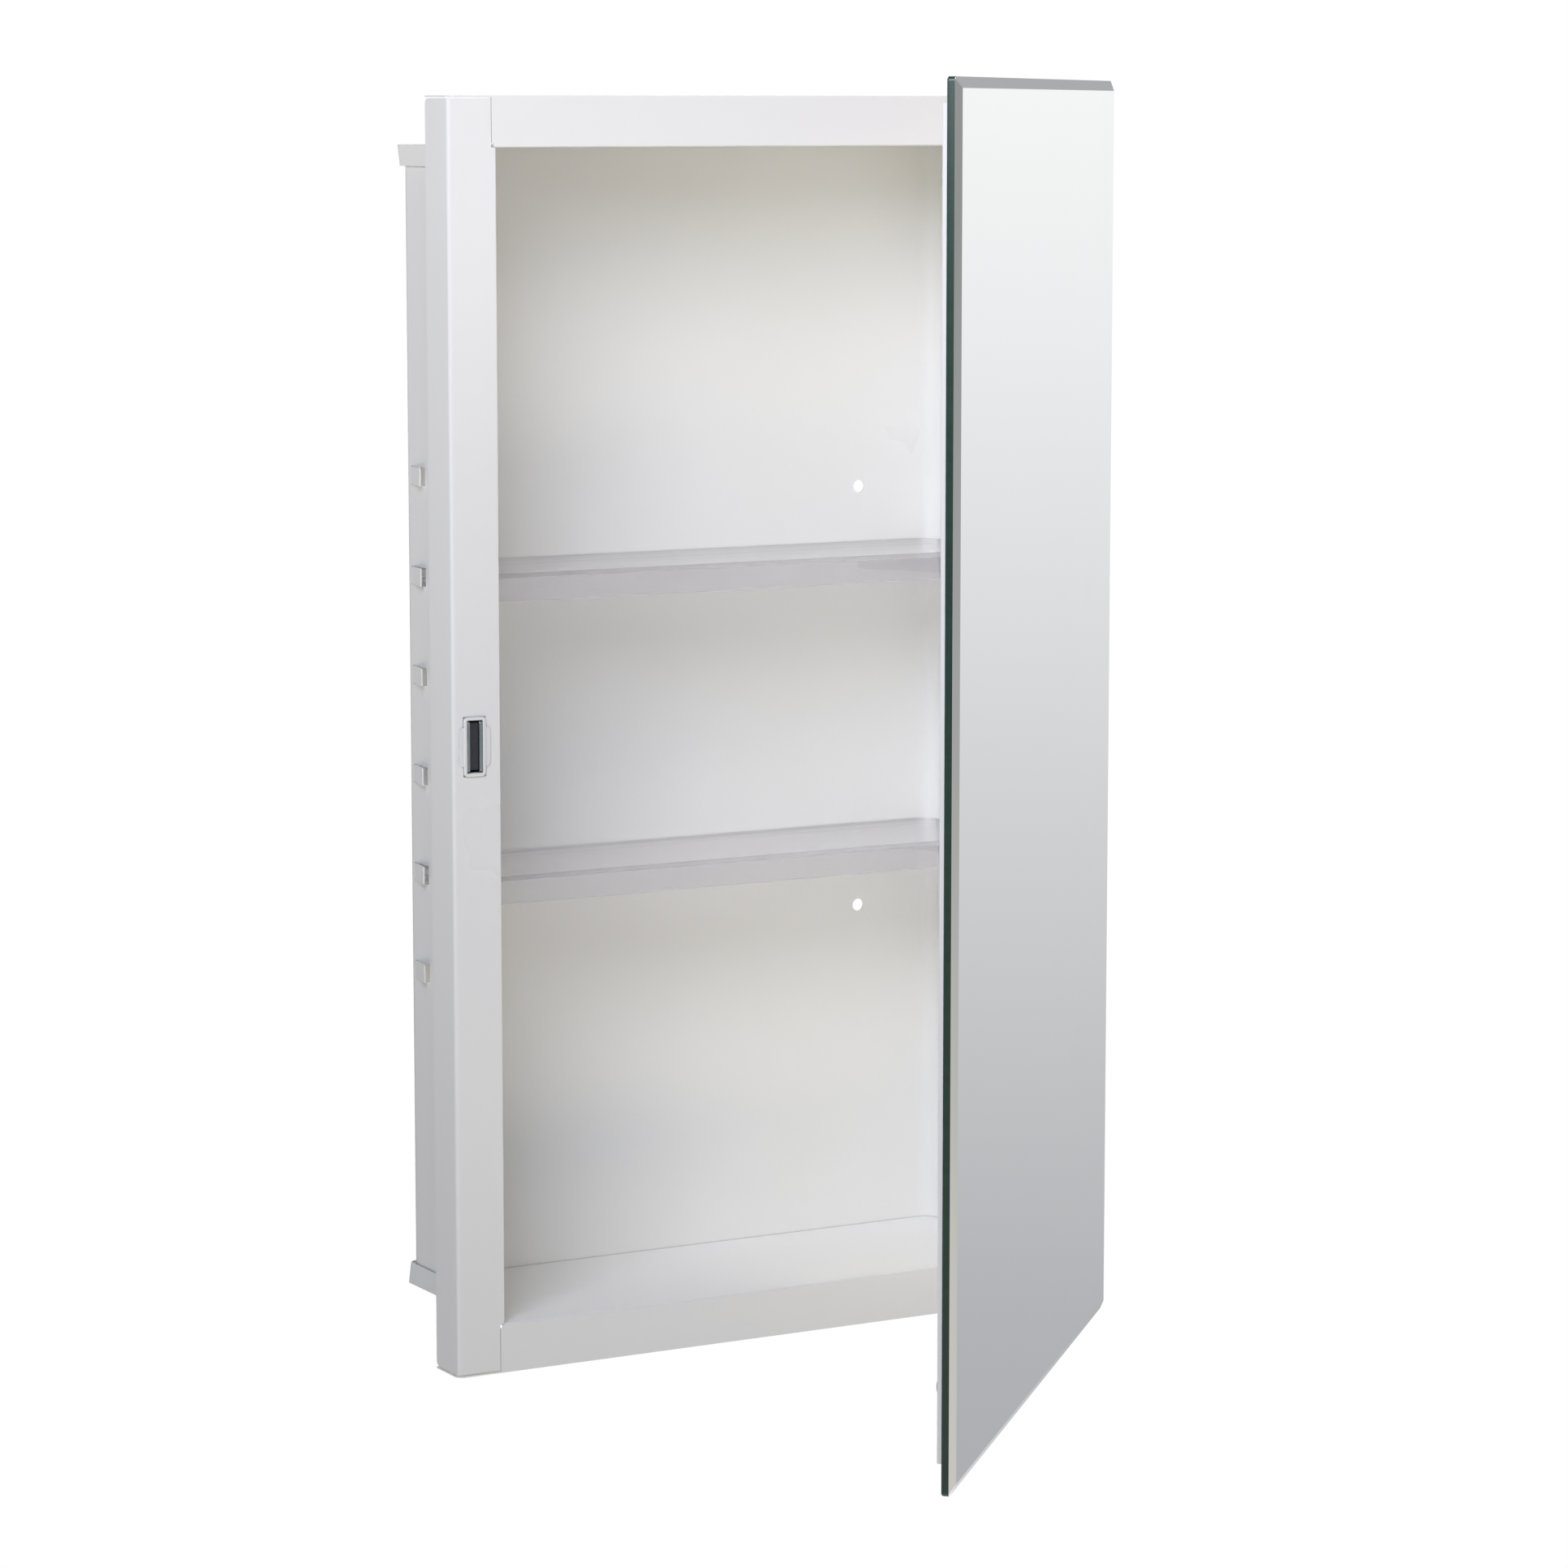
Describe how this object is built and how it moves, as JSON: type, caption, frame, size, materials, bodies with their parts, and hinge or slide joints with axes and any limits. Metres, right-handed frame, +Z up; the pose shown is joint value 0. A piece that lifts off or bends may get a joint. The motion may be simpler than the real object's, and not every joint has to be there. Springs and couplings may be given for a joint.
{
  "type": "medicine cabinet with mirror",
  "caption": "Recessed white steel medicine cabinet, tall and shallow, with clear lipped shelves behind a side-hinged frameless bevelled mirror door held by a magnetic catch.",
  "frame": {"origin": "centre of the four wall screw holes, on the outer face of the back panel", "axes": "+X to the right across the front, +Y into the wall, +Z up; the front faces -Y"},
  "size_m": [0.3844, 0.3975, 0.66],
  "materials": {
    "white_enamel": "white baked enamel, satin",
    "mirror_glass": "polished, silvered behind",
    "backing_film": "matt dark protective film",
    "foam_tape": "matt closed-cell foam",
    "clear_styrene": "clear moulded plastic, gloss",
    "catch_plastic": "white moulded plastic, satin",
    "zinc_steel": "bright zinc plate",
    "ferrite": "dark sintered ferrite",
    "bumper": "translucent soft plastic"
  },
  "bodies": {
    "cabinet": {"cabinet_wrapper": "white_enamel", "top_cap": "white_enamel", "bottom_cap": "white_enamel", "catch_housing": "catch_plastic", "hinge_frame_leaf": "white_enamel", "hinge_pin": "zinc_steel", "frame_leaf_rivets": "zinc_steel"},
    "door": {"hinge_door_leaf": "white_enamel", "door_leaf_rivets": "zinc_steel", "door_pan": "white_enamel", "mirror_side_tapes": "foam_tape", "mirror_end_tapes": "foam_tape", "mirror_backing": "backing_film", "mirror_glass": "mirror_glass", "door_bumpers": "bumper"},
    "magnet_unit": {"catch_magnet": "ferrite", "catch_plate_outer": "zinc_steel", "catch_plate_inner": "zinc_steel"},
    "upper_shelf": {"upper_shelf": "clear_styrene"},
    "lower_shelf": {"lower_shelf": "clear_styrene"}
  },
  "joints": [
    {"name": "door_hinge", "type": "hinge", "parent": "cabinet", "child": "door", "pos_m": [0.1881, -0.1118, 0.0025], "axis": [0, 0, 1], "range_deg": [-46.5, 103.5]},
    {"name": "magnet_float", "type": "slide", "parent": "cabinet", "child": "magnet_unit", "axis": [0, -1, 0], "range_m": [0, 0.0009]},
    {"name": "upper_shelf_lift", "type": "slide", "parent": "cabinet", "child": "upper_shelf", "axis": [0, 0, 1], "range_m": [0, 0.004]},
    {"name": "lower_shelf_lift", "type": "slide", "parent": "cabinet", "child": "lower_shelf", "axis": [0, 0, 1], "range_m": [0, 0.004]}
  ]
}
